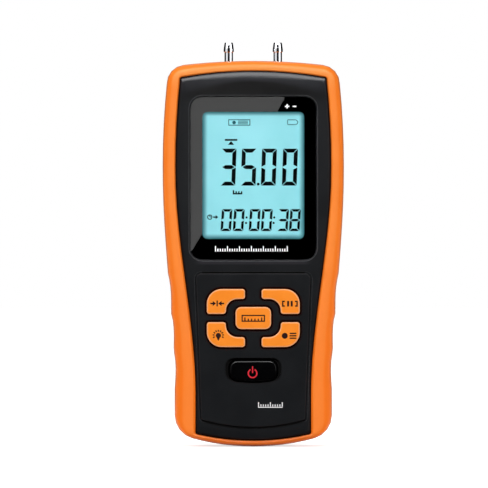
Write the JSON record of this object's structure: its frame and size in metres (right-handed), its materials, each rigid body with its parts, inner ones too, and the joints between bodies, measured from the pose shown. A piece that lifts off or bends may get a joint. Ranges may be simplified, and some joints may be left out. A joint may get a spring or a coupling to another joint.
{
  "type": "digital manometer",
  "caption": "Handheld pressure meter: two-part black case with an orange grip round it, display window, sprung keys, paired hose ports and a hinged battery cover.",
  "frame": {"origin": "middle of the overall box at its lowest point, below the lower rim", "axes": "+Z along the body to the hose ports, the display faces -Y, +X to the right of the display"},
  "size_m": [0.076, 0.036, 0.1695],
  "materials": {
    "black_plastic": "fine satin moulded",
    "orange_grip": "soft satin overmould",
    "orange_key": "smooth satin",
    "black_key": "smooth gloss",
    "window": "clear gloss acrylic",
    "mask_print": "black print",
    "lcd": "display glass",
    "grey_plastic": "moulded",
    "light_guide": "diffuse",
    "soft_rubber": "matte",
    "board": "solder mask",
    "chip_black": "moulded",
    "sensor_plastic": "moulded",
    "clear_tube": "translucent",
    "port_metal": "turned",
    "brass_insert": "turned",
    "cell_sleeve": "shrink sleeve",
    "spring_steel": "plated",
    "screw_steel": "plated"
  },
  "bodies": {
    "housing": {"front_shell": "black_plastic", "front_grip": "orange_grip", "rear_shell": "black_plastic", "rear_grip": "orange_grip", "display_window": "window", "left_port": "port_metal", "right_port": "port_metal", "window_mask": "mask_print", "lcd_glass": "lcd", "lcd_frame": "grey_plastic", "backlight_panel": "light_guide", "zebra_strips": "soft_rubber", "main_board": "board", "board_chips": "chip_black", "pressure_sensor": "sensor_plastic", "sensor_tubes": "clear_tube", "keypad_mat": "soft_rubber", "dif_dome": "soft_rubber", "hold_dome": "soft_rubber", "units_dome": "soft_rubber", "light_dome": "soft_rubber", "rec_dome": "soft_rubber", "power_dome": "soft_rubber", "screw_insert": "brass_insert", "battery_cells": "cell_sleeve", "battery_springs": "spring_steel", "battery_plates": "spring_steel", "case_screws": "screw_steel", "board_screws": "screw_steel"},
    "dif_button": {"dif_key": "orange_key"},
    "hold_button": {"hold_key": "orange_key"},
    "units_button": {"units_key": "orange_key"},
    "light_button": {"light_key": "orange_key"},
    "rec_button": {"rec_key": "orange_key"},
    "power_button": {"power_key": "black_key"},
    "cover": {"battery_cover": "black_plastic"},
    "coin_screw": {"cover_screw": "screw_steel"}
  },
  "joints": [
    {"name": "dif_press", "type": "slide", "parent": "housing", "child": "dif_button", "axis": [0, 1, 0], "range_m": [0, 0.0008], "stiffness_N_per_m": 400, "deforming": ["dif_dome"]},
    {"name": "hold_press", "type": "slide", "parent": "housing", "child": "hold_button", "axis": [0, 1, 0], "range_m": [0, 0.0008], "stiffness_N_per_m": 400, "deforming": ["hold_dome"]},
    {"name": "units_press", "type": "slide", "parent": "housing", "child": "units_button", "axis": [0, 1, 0], "range_m": [0, 0.0008], "stiffness_N_per_m": 400, "deforming": ["units_dome"]},
    {"name": "light_press", "type": "slide", "parent": "housing", "child": "light_button", "axis": [0, 1, 0], "range_m": [0, 0.0008], "stiffness_N_per_m": 400, "deforming": ["light_dome"]},
    {"name": "rec_press", "type": "slide", "parent": "housing", "child": "rec_button", "axis": [0, 1, 0], "range_m": [0, 0.0008], "stiffness_N_per_m": 400, "deforming": ["rec_dome"]},
    {"name": "power_press", "type": "slide", "parent": "housing", "child": "power_button", "axis": [0, 1, 0], "range_m": [0, 0.0008], "stiffness_N_per_m": 400, "deforming": ["power_dome"]},
    {"name": "cover_hinge", "type": "hinge", "parent": "housing", "child": "cover", "pos_m": [0, 0.016, 0.0162], "axis": [-1, 0, 0], "range_deg": [0, 80]},
    {"name": "cover_screw_turn", "type": "hinge", "parent": "cover", "child": "coin_screw", "pos_m": [0, 0.0156, 0.0745], "axis": [0, 1, 0], "continuous": true}
  ]
}
